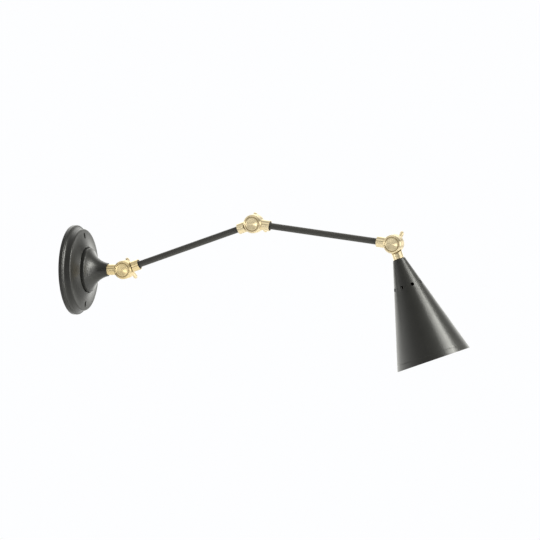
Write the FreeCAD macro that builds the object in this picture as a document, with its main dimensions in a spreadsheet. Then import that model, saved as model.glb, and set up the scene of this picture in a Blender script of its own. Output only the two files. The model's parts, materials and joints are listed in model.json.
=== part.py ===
import FreeCAD, Part
import math
import os
import re
import Sketcher
from FreeCAD import Placement, Rotation, Vector

# Swing arm wall lamp, in millimetres. The origin is the centre of the canopy's back on the wall,
# +X leads out of the wall and +Z is up. At rest both arms and the shade lie in one plane through
# the X axis, which the stem has turned a little out of the XZ plane.
# Every turned piece is drawn about its own X axis, and every knuckle piece about its own Y axis,
# which is the hinge axis.

SIZES = {
    # canopy plate, a spun dish
    "canopy_diameter": 127.0,
    "canopy_wall": 1.4,
    "rim_bead": 5.3,
    "rim_edge": 1.4,
    "rim_step": 0.8,
    "lip_inset": 5.4,
    "lip_back": 9.8,
    "lip_rise": 15.4,
    "lip_round": 1.8,
    "face_radius": 55.0,
    "bell_gap": 0.8,
    "ring_width": 1.7,
    "ring_bead": 1.0,
    "ring_height": 1.2,
    "seat_rise": 19.2,
    "slot_inset": 15.0,
    "slot_width": 5.0,
    "slot_length": 8.4,
    # trumpet hub
    "bell_diameter": 62.8,
    "bell_rim": 6.9,
    "bell_wall": 1.7,
    "shoulder_round": 1.9,
    "flare_radius": 34.0,
    "neck_diameter": 18.6,
    "neck_rise": 51.0,
    "neck_clearance": 0.25,
    "neck_grip": 5.0,
    "neck_wall": 3.9,
    # sleeve and the stem that turns in it
    "sleeve_diameter": 13.0,
    "sleeve_tail": 0.6,
    "sleeve_nut_flats": 18.0,
    "sleeve_nut_height": 4.0,
    "thrust_washer": 1.0,
    "stem_depth": 6.8,
    "stop_washer": 1.2,
    "stop_washer_diameter": 17.0,
    "stop_reach": 17.5,
    "stop_tongue": 4.0,
    "stop_pin_diameter": 3.0,
    "stop_pin_inset": 2.5,
    "stop_pin_overlap": 0.4,
    "swivel_spring": 0.8,
    "swivel_spring_diameter": 14.0,
    "nut_flats": 13.5,
    "nut_height": 4.5,
    "nipple_tail": 1.0,
    # terminal block and earth on their bracket
    "bracket_room": 1.5,
    "bracket_width": 14.0,
    "bracket_wall": 1.2,
    "block_room": 1.0,
    "block_width": 12.0,
    "block_length": 24.0,
    "block_height": 10.0,
    "pole_pitch": 12.0,
    "clamp_pitch": 6.0,
    "conductor_bore": 3.0,
    "conductor_level": 5.7,
    "clamp_screw_diameter": 3.6,
    "clamp_screw_height": 2.4,
    "clamp_well": 3.0,
    "small_screw_diameter": 3.0,
    "small_head_diameter": 5.6,
    "small_head_height": 2.0,
    "small_head_top": 2.8,
    "driver_slot": 0.8,
    "driver_slot_depth": 0.9,
    "earth_room": 3.0,
    "earth_tag": 0.8,
    "earth_tag_diameter": 9.0,
    "earth_tag_tail": 9.0,
    "earth_tag_width": 4.0,
    # knuckles
    "hinge_reach": 75.5,
    "knuckle_diameter": 26.0,
    "knuckle_depth": 9.7,
    "knuckle_edge": 2.9,
    "seam_chamfer": 0.4,
    "ring_groove": 0.8,
    "ring_groove_depth": 0.6,
    "face_drop": 0.15,
    "dome_height": 0.7,
    "collar_diameter": 15.2,
    "collar_end": 24.0,
    "collar_root": 5.0,
    "collar_edge": 0.5,
    "lap_gap": 1.2,
    "socket_floor": 15.2,
    "ferrule_depth": 4.0,
    "ferrule_wall": 2.2,
    "ferrule_recess": 0.4,
    "friction_washer": 0.6,
    "friction_outer": 24.8,
    "friction_inner": 17.2,
    "chamber_outer": 16.4,
    "chamber_inner": 7.8,
    "chamber_floor": 6.2,
    "channel_diameter": 4.8,
    "channel_offset": 3.4,
    "channel_start": 5.0,
    # wing screws
    "shank_diameter": 4.9,
    "running_clearance": 0.05,
    "shank_reach": 5.5,
    "shank_bottom": 0.8,
    "spring_washer": 0.8,
    "spring_washer_diameter": 10.4,
    "screw_head_diameter": 12.0,
    "screw_head_height": 2.2,
    "screw_neck_diameter": 9.2,
    "screw_neck_height": 9.8,
    "screw_crown": 1.2,
    "wing_root": 5.0,
    "wing_base": 4.3,
    "wing_saddle": 10.6,
    "wing_span": 31.2,
    "wing_low": 17.4,
    "wing_tip_run": 4.2,
    "wing_tip_rise": 4.0,
    "wing_tip_fullness": 0.552,
    "wing_lower_round": 17.0,
    "wing_upper_round": 22.0,
    "wing_thickness": 3.4,
    "wing_edge": 1.1,
    # arms, with the wires in their bores
    "arm_length": 205.0,
    "tube_diameter": 9.0,
    "tube_wall": 1.2,
    "wire_gap": 0.5,
    "wire_tail": 2.5,
    "fit_gap": 0.03,
    # shade
    "shade_seat": 22.0,
    "shade_length": 147.5,
    "shade_top_margin": 1.7,
    "shade_mouth": 105.8,
    "shade_wall": 1.0,
    "shade_top_round": 1.0,
    "shade_top_bend": 1.2,
    "hem_width": 8.0,
    "hem_dip": 0.12,
    "hem_dip_width": 1.2,
    "vent_count": 8,
    "vent_diameter": 4.9,
    "vent_distance": 39.2,
    "shade_washer": 1.0,
    "shade_washer_margin": 0.5,
    # lampholder, measured from the top of the shade
    "cap_start": 12.0,
    "cap_boss_diameter": 13.5,
    "cap_boss_length": 5.0,
    "cap_flare_length": 5.0,
    "cap_band": 2.0,
    "cap_wall": 1.5,
    "nipple_grip": 4.0,
    "holder_diameter": 26.0,
    "holder_length": 38.0,
    "holder_floor": 5.0,
    "holder_edge": 1.2,
    "shell_clearance": 0.3,
    "shell_wall": 1.1,
    "shell_length": 27.0,
    "shell_gap": 0.1,
    "contact_pin": 3.8,
    "contact_head": 7.0,
    "contact_height": 3.5,
    # bulb
    "bulb_cap_diameter": 13.6,
    "bulb_cap_length": 25.5,
    "bulb_tip": 5.0,
    "bulb_tip_height": 1.0,
    "bulb_shoulder": 3.5,
    "bulb_diameter": 45.0,
    "bulb_neck": 13.0,
    "bulb_neck_flare": 26.0,
    "bulb_flare_length": 13.0,
    "bulb_flare_round": 24.0,
    "glass_wall": 0.8,
    # the pose in which the lamp is at rest, in degrees
    "swivel_angle": 3.5,
    "arm_one_angle": 18.05,
    "arm_two_angle": -8.35,
    "shade_angle": -71.7,
    "vent_turn": 9.6,
    "shoulder_wing_angle": -65.0,
    "elbow_wing_angle": -58.0,
    "wrist_wing_angle": 73.5,
}

LEFT, RIGHT = 1, -1

doc = FreeCAD.newDocument("SwingArmWallLamp")
sheet = doc.addObject("Spreadsheet::Sheet", "Sizes")
for row, (alias, number) in enumerate(SIZES.items(), start=1):
    sheet.set(f"A{row}", alias)
    sheet.set(f"B{row}", str(number))
    sheet.setAlias(f"B{row}", alias)
doc.recompute()

sub_parts = []


# Expressions name the sheet's cells by their bare aliases.


def bound(text):
    return re.sub(r"[a-z_]+", lambda word: ("Sizes." if word[0] in SIZES else "") + word[0], str(text))


def size(text):
    return float(sheet.evalExpression(bound(text)))


def bind(target, name, text):
    target.setExpression(name, bound(text))


# Sketches: each corner is (x, y), or (x, y, radius, turn) where an arc leads to it.


def arc_between(start, end, radius, turn):
    chord = end - start
    middle = (start + end) * 0.5
    rise = math.sqrt(max(radius**2 - chord.Length**2 / 4, 0))
    side = Vector(-chord.y, chord.x, 0) * (turn / chord.Length)
    centre = middle + side * rise
    first, last = (start, end) if turn == LEFT else (end, start)
    angles = [math.atan2(p.y - centre.y, p.x - centre.x) for p in (first, last)]
    return Part.ArcOfCircle(Part.Circle(centre, Vector(0, 0, 1), radius), *angles)


def draw_loop(sketch, corners):
    points = [Vector(size(c[0]), size(c[1]), 0) for c in corners]
    ends = []
    for index, corner in enumerate(corners):
        start, end = points[index - 1], points[index]
        if len(corner) == 2:
            edge = sketch.addGeometry(Part.LineSegment(start, end), False)
            ends.append((edge, 1, 2))
            continue
        radius, turn = corner[2:]
        edge = sketch.addGeometry(arc_between(start, end, size(radius), turn), False)
        ends.append((edge, 1, 2) if turn == LEFT else (edge, 2, 1))
        limit = sketch.addConstraint(Sketcher.Constraint("Radius", edge, size(radius)))
        bind(sketch, f"Constraints[{limit}]", radius)
    for index, corner in enumerate(corners):
        edge, _, tail = ends[index]
        follower, head, _ = ends[(index + 1) % len(ends)]
        sketch.addConstraint(Sketcher.Constraint("Coincident", edge, tail, follower, head))
        for kind, text in zip(("DistanceX", "DistanceY"), corner):
            limit = sketch.addConstraint(Sketcher.Constraint(kind, -1, 1, edge, tail, size(text)))
            bind(sketch, f"Constraints[{limit}]", text)


def draw_circle(sketch, x, y, diameter):
    centre = Vector(size(x), size(y), 0)
    edge = sketch.addGeometry(Part.Circle(centre, Vector(0, 0, 1), size(diameter) / 2), False)
    limit = sketch.addConstraint(Sketcher.Constraint("Diameter", edge, size(diameter)))
    bind(sketch, f"Constraints[{limit}]", diameter)
    for kind, text in (("DistanceX", x), ("DistanceY", y)):
        limit = sketch.addConstraint(Sketcher.Constraint(kind, -1, 1, edge, 3, size(text)))
        bind(sketch, f"Constraints[{limit}]", text)


def new_sketch(body, name, plane="XY_Plane", offset="0"):
    sketch = body.newObject("Sketcher::SketchObject", name)
    support = next(f for f in body.Origin.OriginFeatures if f.Role == plane)
    sketch.AttachmentSupport = (support, [""])
    sketch.MapMode = "FlatFace"
    bind(sketch, "AttachmentOffset.Base.z", offset)
    return sketch


# Features of a body.


def new_body(label, place):
    body = doc.addObject("PartDesign::Body", label)
    body.Label = label
    body.Placement = place
    sub_parts.append(body)
    return body


def turn_feature(body, name, corners, axis="H_Axis", cut=False):
    sketch = new_sketch(body, f"{name}_outline")
    draw_loop(sketch, corners)
    feature = body.newObject("PartDesign::Groove" if cut else "PartDesign::Revolution", name)
    feature.Profile = sketch
    feature.ReferenceAxis = (sketch, [axis])
    feature.Angle = 360
    return feature


def pocket(body, name, sketch, length=None, reverse=False):
    feature = body.newObject("PartDesign::Pocket", name)
    feature.Profile = sketch
    feature.Reversed = reverse
    if length is None:
        feature.Type = "ThroughAll"
        feature.SideType = "Symmetric"
    else:
        bind(feature, "Length", length)
    return feature


def pad(body, name, sketch, length, symmetric=False):
    feature = body.newObject("PartDesign::Pad", name)
    feature.Profile = sketch
    feature.SideType = "Symmetric" if symmetric else "One side"
    bind(feature, "Length", length)
    return feature


def ring(x_low, x_high, r_low, r_high):
    return [(x_low, r_low), (x_high, r_low), (x_high, r_high), (x_low, r_high)]


def turned(label, place, corners):
    body = new_body(label, place)
    turn_feature(body, f"{label}_turned", corners)
    return body


def washer(label, place, x_low, x_high, inner, outer):
    return turned(label, place, ring(x_low, x_high, f"({inner}) / 2", f"({outer}) / 2"))


def hex_nut(label, place, x_low, height, flats, bore):
    prism = doc.addObject("Part::Prism", f"{label}_hexagon")
    prism.Polygon = 6
    bind(prism, "Circumradius", f"({flats}) / sqrt(3)")
    bind(prism, "Height", height)
    hole = doc.addObject("Part::Cylinder", f"{label}_bore")
    bind(hole, "Radius", f"({bore}) / 2")
    bind(hole, "Height", height)
    nut = doc.addObject("Part::Cut", label)
    nut.Base, nut.Tool = prism, hole
    nut.Label = label
    lie_along_x = Rotation(Vector(0, 1, 0), 90)
    nut.Placement = place.multiply(Placement(Vector(size(x_low), 0, 0), lie_along_x))
    sub_parts.append(nut)
    return nut


def group(label, place, members):
    bundle = doc.addObject("Part::Compound", label)
    bundle.Links = members
    bundle.Label = label
    bundle.Placement = place
    sub_parts.append(bundle)


# Frames: a direction in the plane of the arms is an angle above +X, and the stem turns that plane.


def facing(angle):
    return Rotation(Vector(0, 1, 0), -angle)


def reach_from(start, length, angle):
    return start + facing(angle).multVec(Vector(length, 0, 0))


wall = Placement()
shoulder = Vector(size("hinge_reach"), 0, 0)
elbow = reach_from(shoulder, size("arm_length"), size("arm_one_angle"))
wrist = reach_from(elbow, size("arm_length"), size("arm_two_angle"))

stem = Placement(Vector(), Rotation(Vector(1, 0, 0), size("swivel_angle")))


def held(spot, turn):
    return stem.multiply(Placement(spot, turn))


arm_one = held(shoulder, facing(size("arm_one_angle")))
arm_two = held(elbow, facing(size("arm_two_angle")))
head = held(wrist, facing(size("shade_angle")))
hinges = {"shoulder": shoulder, "elbow": elbow, "wrist": wrist}

# Shared stations along the canopy's axis.

BELL_SEAT = "seat_rise"
BELL_SHOULDER = "(seat_rise + bell_rim)"
RECESS = "(bell_diameter / 2 + bell_gap)"
PLATE_BACK = "seat_rise - canopy_wall"
BRACKET_BACK = f"{PLATE_BACK} - bracket_wall"
SLEEVE_BACK = f"{BRACKET_BACK} - sleeve_nut_height - sleeve_tail"
STEM_END = "neck_rise - stem_depth"
SLEEVE_FRONT = f"{STEM_END} - thrust_washer"
STOP_BACK = f"{SLEEVE_BACK} - stop_washer"
SPRING_BACK = f"{STOP_BACK} - swivel_spring"
SWIVEL_NUT_BACK = f"{SPRING_BACK} - nut_height"
BLOCK_BACK = f"{BRACKET_BACK} - block_height"
BLOCK_OFFSET = "(stop_reach + block_room + block_width / 2)"
EARTH_OFFSET = "(stop_reach + earth_room + earth_tag_diameter / 2)"
TUBE_BORE = "tube_diameter - 2 * tube_wall"
TUBE_FIT = "tube_diameter + 2 * fit_gap"
WIRE = f"{TUBE_BORE} - 2 * wire_gap"
SLEEVE_BORE = "tube_diameter + 2 * running_clearance"
SLEEVE_FIT = "sleeve_diameter + 2 * fit_gap"


def canopy_plate():
    rim = "canopy_diameter / 2"
    cove_top = f"{rim} - rim_edge - rim_step"
    lip = "(canopy_diameter / 2 - lip_inset)"
    cove_drop = f"({cove_top} - {lip})"
    cove = f"((lip_back - rim_bead)^2 + {cove_drop}^2) / (2 * {cove_drop})"
    face_edge = f"{lip} - lip_round"
    ring_top = "seat_rise + ring_height"
    body = new_body("canopy_plate", wall)
    turn_feature(body, "spun_dish", [
        ("0", rim),
        ("rim_bead - rim_edge", rim),
        ("rim_bead", f"{rim} - rim_edge", "rim_edge", RIGHT),
        ("rim_bead", cove_top),
        ("lip_back", lip, cove, LEFT),
        ("lip_rise - lip_round", lip),
        ("lip_rise", face_edge, "lip_round", RIGHT),
        (ring_top, f"{RECESS} + ring_width", "face_radius", LEFT),
        (ring_top, RECESS, "ring_bead", RIGHT),
        (BELL_SEAT, RECESS),
        (BELL_SEAT, f"({SLEEVE_FIT}) / 2"),
        (PLATE_BACK, f"({SLEEVE_FIT}) / 2"),
        (PLATE_BACK, RECESS),
        ("lip_rise - canopy_wall", face_edge, "face_radius + canopy_wall", RIGHT),
        ("lip_rise - canopy_wall", f"{lip} - canopy_wall"),
        ("lip_back", f"{lip} - canopy_wall"),
        ("rim_bead", f"{cove_top} - canopy_wall", cove, RIGHT),
        ("0", f"{cove_top} - canopy_wall"),
    ])
    half_width = "slot_width / 2"
    straight = "(slot_length - slot_width) / 2"
    slots = new_sketch(body, "wall_slots", "YZ_Plane")
    for sign in ("-", ""):
        middle = f"{sign}(canopy_diameter / 2 - slot_inset)"
        draw_loop(slots, [
            (half_width, f"{middle} + {straight}"),
            ("0", f"{middle} + slot_length / 2", half_width, LEFT),
            (f"-{half_width}", f"{middle} + {straight}", half_width, LEFT),
            (f"-{half_width}", f"{middle} - {straight}"),
            ("0", f"{middle} - slot_length / 2", half_width, LEFT),
            (half_width, f"{middle} - {straight}", half_width, LEFT),
        ])
    pocket(body, "wall_slot_cut", slots)


def hub_bell():
    flare_inside = f"({SLEEVE_FIT}) / 2 + neck_wall"
    neck_bore = "collar_diameter / 2 + neck_clearance"
    turned("hub_bell", wall, [
        (BELL_SEAT, "bell_diameter / 2"),
        (f"{BELL_SHOULDER} - shoulder_round", "bell_diameter / 2"),
        (BELL_SHOULDER, "bell_diameter / 2 - shoulder_round", "shoulder_round", RIGHT),
        ("neck_rise", "neck_diameter / 2", "flare_radius", LEFT),
        ("neck_rise", neck_bore),
        (SLEEVE_FRONT, neck_bore),
        (SLEEVE_FRONT, f"({SLEEVE_FIT}) / 2"),
        (f"{SLEEVE_FRONT} - neck_grip", f"({SLEEVE_FIT}) / 2"),
        (f"{SLEEVE_FRONT} - neck_grip", flare_inside),
        (f"{BELL_SHOULDER} - bell_wall", "bell_diameter / 2 - bell_wall", "flare_radius + bell_wall", RIGHT),
        (BELL_SEAT, "bell_diameter / 2 - bell_wall"),
    ])


def canopy_fittings():
    washer("hub_sleeve", wall, SLEEVE_BACK, SLEEVE_FRONT, SLEEVE_BORE, "sleeve_diameter")
    hex_nut("sleeve_nut", wall, f"{BRACKET_BACK} - sleeve_nut_height", "sleeve_nut_height",
            "sleeve_nut_flats", SLEEVE_FIT)

    bracket = new_body("terminal_bracket", wall)
    half_span = f"({RECESS} - bracket_room)"
    strip = new_sketch(bracket, "bracket_strip", "YZ_Plane", BRACKET_BACK)
    draw_loop(strip, [
        (half_span, "-bracket_width / 2"),
        (half_span, "bracket_width / 2"),
        (f"-{half_span}", "bracket_width / 2"),
        (f"-{half_span}", "-bracket_width / 2"),
    ])
    draw_circle(strip, "0", "0", SLEEVE_FIT)
    for offset in (BLOCK_OFFSET, f"-{EARTH_OFFSET}"):
        draw_circle(strip, offset, "0", "small_screw_diameter + 2 * fit_gap")
    pad(bracket, "bracket_sheet", strip, "bracket_wall")

    pin = new_body("stop_pin", wall)
    pin_end = new_sketch(pin, "stop_pin_round", "YZ_Plane", f"{STOP_BACK} - stop_pin_overlap")
    draw_circle(pin_end, "stop_reach - stop_pin_inset", "0", "stop_pin_diameter")
    pad(pin, "stop_pin_length", pin_end, f"{BRACKET_BACK} - ({STOP_BACK}) + stop_pin_overlap")

    tag = new_body("earth_tag", wall)
    tag_round = new_sketch(tag, "earth_tag_round", "YZ_Plane", f"{BRACKET_BACK} - earth_tag")
    draw_circle(tag_round, f"-{EARTH_OFFSET}", "0", "earth_tag_diameter")
    pad(tag, "earth_tag_ring", tag_round, "earth_tag")
    tail = new_sketch(tag, "earth_tag_strip", "YZ_Plane", f"{BRACKET_BACK} - earth_tag")
    draw_loop(tail, [
        (f"-{EARTH_OFFSET} - earth_tag_width / 2", "0"),
        (f"-{EARTH_OFFSET} + earth_tag_width / 2", "0"),
        (f"-{EARTH_OFFSET} + earth_tag_width / 2", "earth_tag_tail"),
        (f"-{EARTH_OFFSET} - earth_tag_width / 2", "earth_tag_tail"),
    ])
    pad(tag, "earth_tag_tongue", tail, "earth_tag")
    tag_hole = new_sketch(tag, "earth_tag_bore", "YZ_Plane")
    draw_circle(tag_hole, f"-{EARTH_OFFSET}", "0", "small_screw_diameter + 2 * fit_gap")
    pocket(tag, "earth_tag_hole", tag_hole)

    small_screw("earth_screw", f"-{EARTH_OFFSET}", f"{BRACKET_BACK} - earth_tag")
    terminal_block()
    small_screw("block_screw", BLOCK_OFFSET, BLOCK_BACK)


def small_screw(label, offset, seat):
    head_end = f"{seat} - small_head_height"
    screw = turned(label, Placement(Vector(0, size(offset), 0), Rotation()), [
        (head_end, "0"),
        (seat, "0"),
        (PLATE_BACK, "0"),
        (PLATE_BACK, "small_screw_diameter / 2"),
        (seat, "small_screw_diameter / 2"),
        (seat, "small_head_diameter / 2"),
        (f"{seat} - small_head_height / 2", "small_head_diameter / 2"),
        (head_end, "small_head_top / 2"),
    ])
    slot = new_sketch(screw, f"{label}_slot_strip", "YZ_Plane", head_end)
    draw_loop(slot, [
        ("small_head_diameter", "-driver_slot / 2"),
        ("small_head_diameter", "driver_slot / 2"),
        ("-small_head_diameter", "driver_slot / 2"),
        ("-small_head_diameter", "-driver_slot / 2"),
    ])
    pocket(screw, f"{label}_slot", slot, "driver_slot_depth", reverse=True)


def terminal_block():
    block = new_body("terminal_block", wall)
    outline = new_sketch(block, "block_outline", "YZ_Plane", BLOCK_BACK)
    low, high = f"{BLOCK_OFFSET} - block_width / 2", f"{BLOCK_OFFSET} + block_width / 2"
    draw_loop(outline, [
        (high, "-block_length / 2"),
        (high, "block_length / 2"),
        (low, "block_length / 2"),
        (low, "-block_length / 2"),
    ])
    draw_circle(outline, BLOCK_OFFSET, "0", "small_screw_diameter + 2 * fit_gap")
    pad(block, "block_body", outline, "block_height")

    wells = new_sketch(block, "clamp_wells", "YZ_Plane", BLOCK_BACK)
    clamps = []
    for side in ("-", "+"):
        for end in ("-", "+"):
            spot = f"{BLOCK_OFFSET} {side} clamp_pitch / 2", f"0 {end} pole_pitch / 2"
            draw_circle(wells, *spot, "clamp_screw_diameter + 2 * fit_gap")
            round_bar = doc.addObject("Part::Cylinder", "clamp_bar")
            bind(round_bar, "Radius", "clamp_screw_diameter / 2")
            bind(round_bar, "Height", "clamp_screw_height")
            slot = doc.addObject("Part::Box", "clamp_slot")
            bind(slot, "Length", "2 * clamp_screw_diameter")
            bind(slot, "Width", "driver_slot")
            bind(slot, "Height", "driver_slot_depth")
            bind(slot, "Placement.Base.x", "-clamp_screw_diameter")
            bind(slot, "Placement.Base.y", "-driver_slot / 2")
            clamp = doc.addObject("Part::Cut", "clamp_screw")
            clamp.Base, clamp.Tool = round_bar, slot
            lie_along_x = Rotation(Vector(0, 1, 0), 90)
            floor = size(f"{BLOCK_BACK} + clamp_well - clamp_screw_height")
            clamp.Placement = Placement(Vector(floor, *map(size, spot)), lie_along_x)
            clamps.append(clamp)
    pocket(block, "clamp_well_cut", wells, "clamp_well", reverse=True)

    bores = new_sketch(block, "conductor_ends", "XZ_Plane")
    for end in ("-", "+"):
        draw_circle(bores, f"{BLOCK_BACK} + conductor_level", f"0 {end} pole_pitch / 2", "conductor_bore")
    pocket(block, "conductor_bores", bores)
    group("terminal_screws", wall, clamps)


def turning_stem():
    washer("thrust_washer", stem, SLEEVE_FRONT, STEM_END, SLEEVE_BORE, "collar_diameter")
    washer("swivel_nipple", stem, f"{SWIVEL_NUT_BACK} - nipple_tail", "hinge_reach - socket_floor",
           TUBE_BORE, "tube_diameter")
    stop = new_body("stop_washer", stem)
    disc = new_sketch(stop, "stop_disc_round", "YZ_Plane", STOP_BACK)
    draw_circle(disc, "0", "0", "stop_washer_diameter")
    pad(stop, "stop_disc", disc, "stop_washer")
    tongue = new_sketch(stop, "stop_tongue_strip", "YZ_Plane", STOP_BACK)
    draw_loop(tongue, [
        ("0", "-stop_tongue / 2"),
        ("0", "stop_tongue / 2"),
        ("-stop_reach", "stop_tongue / 2"),
        ("-stop_reach", "-stop_tongue / 2"),
    ])
    pad(stop, "stop_arm", tongue, "stop_washer")
    hole = new_sketch(stop, "stop_bore", "YZ_Plane")
    draw_circle(hole, "0", "0", TUBE_FIT)
    pocket(stop, "stop_hole", hole)
    washer("swivel_spring_washer", stem, SPRING_BACK, STOP_BACK, TUBE_FIT, "swivel_spring_diameter")
    hex_nut("swivel_nut", stem, SWIVEL_NUT_BACK, "nut_height", "nut_flats", TUBE_FIT)
    washer("stem_wire", stem, f"{SWIVEL_NUT_BACK} - nipple_tail - wire_tail",
           "hinge_reach - socket_floor", "0", WIRE)


# Knuckles. A half is drawn on the -Y side with its collar along +X. Near halves are tapped for the
# wing screw, and far halves are the same casting turned over and drilled through.

MATING_FACE = "-friction_washer / 2"
SCREW_BORE = "shank_diameter / 2 + running_clearance"
FAR_FACE = "friction_washer / 2 + knuckle_depth - face_drop"


def knuckle_half(label, place, tapped, collar_end="collar_end", ferrule=True):
    outer = "knuckle_diameter / 2"
    back = f"({MATING_FACE} - knuckle_depth)"
    rim = f"({outer} - knuckle_edge)"
    inner_rim = f"({rim} - ring_groove)"
    face = f"({back} + face_drop)"
    body = new_body(label, place)
    if tapped:
        dome = f"({inner_rim}^2 + dome_height^2) / (2 * dome_height)"
        centre = [("0", f"{face} - dome_height", dome, RIGHT)]
    else:
        centre = [("0", face)]
    turn_feature(body, f"{label}_puck", [
        ("0", MATING_FACE),
        (f"{outer} - seam_chamfer", MATING_FACE),
        (outer, f"{MATING_FACE} - seam_chamfer"),
        (outer, f"{back} + knuckle_edge"),
        (rim, back, "knuckle_edge", RIGHT),
        (f"{rim} - ring_groove / 2", f"{back} + ring_groove_depth"),
        (inner_rim, face),
        *centre,
    ], "V_Axis")
    turn_feature(body, f"{label}_collar", [
        ("collar_root", "0"),
        (collar_end, "0"),
        (collar_end, "collar_diameter / 2 - collar_edge"),
        (f"{collar_end} - collar_edge", "collar_diameter / 2", "collar_edge", LEFT),
        ("collar_root", "collar_diameter / 2"),
    ])
    turn_feature(body, f"{label}_lap", [
        ("0", MATING_FACE),
        (f"{outer} + lap_gap", MATING_FACE),
        (f"{outer} + lap_gap", "collar_diameter"),
        ("0", "collar_diameter"),
    ], "V_Axis", cut=True)
    turn_feature(body, f"{label}_chamber", [
        ("chamber_inner / 2", MATING_FACE),
        ("chamber_inner / 2", "-chamber_floor"),
        ("chamber_outer / 2", "-chamber_floor"),
        ("chamber_outer / 2", MATING_FACE),
    ], "V_Axis", cut=True)
    past_end = f"{collar_end} + collar_edge"
    mouth = [(past_end, f"({TUBE_FIT}) / 2"), (past_end, "0")]
    if ferrule:
        seat = f"{collar_end} - ferrule_depth"
        ferrule_fit = "tube_diameter / 2 + ferrule_wall + fit_gap"
        mouth = [(seat, f"({TUBE_FIT}) / 2"), (seat, ferrule_fit), (past_end, ferrule_fit), (past_end, "0")]
    turn_feature(body, f"{label}_socket", [
        ("socket_floor", "0"),
        ("socket_floor", f"({TUBE_FIT}) / 2"),
        *mouth,
    ], cut=True)
    depth = "-(shank_reach + shank_bottom)" if tapped else f"{back} - dome_height"
    turn_feature(body, f"{label}_screw_hole", [
        ("0", MATING_FACE),
        ("0", depth),
        (SCREW_BORE, depth),
        (SCREW_BORE, MATING_FACE),
    ], "V_Axis", cut=True)
    channel = new_sketch(body, f"{label}_channel_end", "YZ_Plane", "channel_start")
    draw_circle(channel, "-channel_offset", "0", "channel_diameter")
    pocket(body, f"{label}_wire_channel", channel, "socket_floor - channel_start + collar_edge", reverse=True)


def knuckles():
    turn_over = Placement(Vector(), Rotation(Vector(1, 0, 0), 180))

    def half_at(hinge, angle):
        return held(hinge, facing(angle))

    one, two, tilt = size("arm_one_angle"), size("arm_two_angle"), size("shade_angle")
    knuckle_half("shoulder_near_half", half_at(shoulder, 180), True, f"hinge_reach - ({STEM_END})", False)
    knuckle_half("shoulder_far_half", half_at(shoulder, one).multiply(turn_over), False)
    knuckle_half("elbow_far_half", half_at(elbow, one + 180).multiply(turn_over), False)
    knuckle_half("elbow_near_half", half_at(elbow, two), True)
    knuckle_half("wrist_near_half", half_at(wrist, two + 180), True)
    knuckle_half("wrist_far_half", half_at(wrist, tilt).multiply(turn_over), False, "shade_seat", False)

    for name, hinge in hinges.items():
        lie_along_y = Rotation(Vector(0, 0, 1), 90)
        on_hinge = held(hinge, lie_along_y)
        washer(f"{name}_friction_washer", on_hinge, MATING_FACE, "friction_washer / 2",
               "friction_inner", "friction_outer")
        washer(f"{name}_spring_washer", on_hinge, FAR_FACE, f"{FAR_FACE} + spring_washer",
               f"2 * ({SCREW_BORE})", "spring_washer_diameter")
        wing_screw(f"{name}_wing_screw", half_at(hinge, size(f"{name}_wing_angle")))


def wing_screw(label, place):
    seat = f"({FAR_FACE} + spring_washer)"
    body = new_body(label, place)
    wings = new_sketch(body, f"{label}_outline")
    tip_x, tip_low = "wing_span / 2", f"{seat} + wing_low"
    tip_inner, tip_high = "(wing_span / 2 - wing_tip_run)", f"{tip_low} + wing_tip_rise"
    tip_round = "wing_tip_fullness * sqrt(wing_tip_run^2 + wing_tip_rise^2)"
    draw_loop(wings, [
        ("-wing_root", f"{seat} + wing_base", "wing_lower_round", RIGHT),
        ("wing_root", f"{seat} + wing_base"),
        (tip_x, tip_low, "wing_lower_round", RIGHT),
        (tip_inner, tip_high, tip_round, LEFT),
        ("0", f"{seat} + wing_saddle", "wing_upper_round", LEFT),
        (f"-{tip_inner}", tip_high, "wing_upper_round", LEFT),
        (f"-{tip_x}", tip_low, tip_round, LEFT),
    ])
    blade = pad(body, f"{label}_blade", wings, "wing_thickness", symmetric=True)
    doc.recompute()
    flat = sorted(range(len(blade.Shape.Faces)), key=lambda i: -blade.Shape.Faces[i].Area)[:2]
    softened = body.newObject("PartDesign::Fillet", f"{label}_edges")
    softened.Base = (blade, [f"Face{i + 1}" for i in flat])
    bind(softened, "Radius", "wing_edge")
    neck_top = f"{seat} + screw_head_height + screw_neck_height"
    crown = "((screw_neck_diameter / 2)^2 + screw_crown^2) / (2 * screw_crown)"
    turn_feature(body, f"{label}_spindle", [
        ("0", "-shank_reach"),
        ("shank_diameter / 2", "-shank_reach"),
        ("shank_diameter / 2", seat),
        ("screw_head_diameter / 2", seat),
        ("screw_head_diameter / 2", f"{seat} + screw_head_height"),
        ("screw_neck_diameter / 2", neck_top),
        ("0", f"{neck_top} + screw_crown", crown, LEFT),
    ], "V_Axis")


def arm(name, place):
    far_end = "arm_length - socket_floor"
    washer(f"{name}_tube", place, "socket_floor", far_end, TUBE_BORE, "tube_diameter")
    washer(f"{name}_wire", place, "socket_floor", far_end, "0", WIRE)
    ferrules = []
    for start, end in (("collar_end - ferrule_depth", "collar_end - ferrule_recess"),
                       ("arm_length - collar_end + ferrule_recess",
                        "arm_length - collar_end + ferrule_depth")):
        bush = doc.addObject("Part::Cylinder", f"{name}_bush")
        bind(bush, "Radius", "tube_diameter / 2 + ferrule_wall")
        bind(bush, "Height", f"{end} - ({start})")
        bore = doc.addObject("Part::Cylinder", f"{name}_bush_bore")
        bind(bore, "Radius", f"({TUBE_FIT}) / 2")
        bind(bore, "Height", f"{end} - ({start})")
        ferrule = doc.addObject("Part::Cut", f"{name}_ferrule")
        ferrule.Base, ferrule.Tool = bush, bore
        ferrule.Placement = Placement(Vector(size(start), 0, 0), Rotation(Vector(0, 1, 0), 90))
        ferrules.append(ferrule)
    group(f"{name}_ferrules", place, ferrules)


SHADE_WASHER = "(nut_flats + shade_washer_margin)"
SHADE_TOP = f"({SHADE_WASHER} + 2 * shade_top_margin)"


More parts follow.
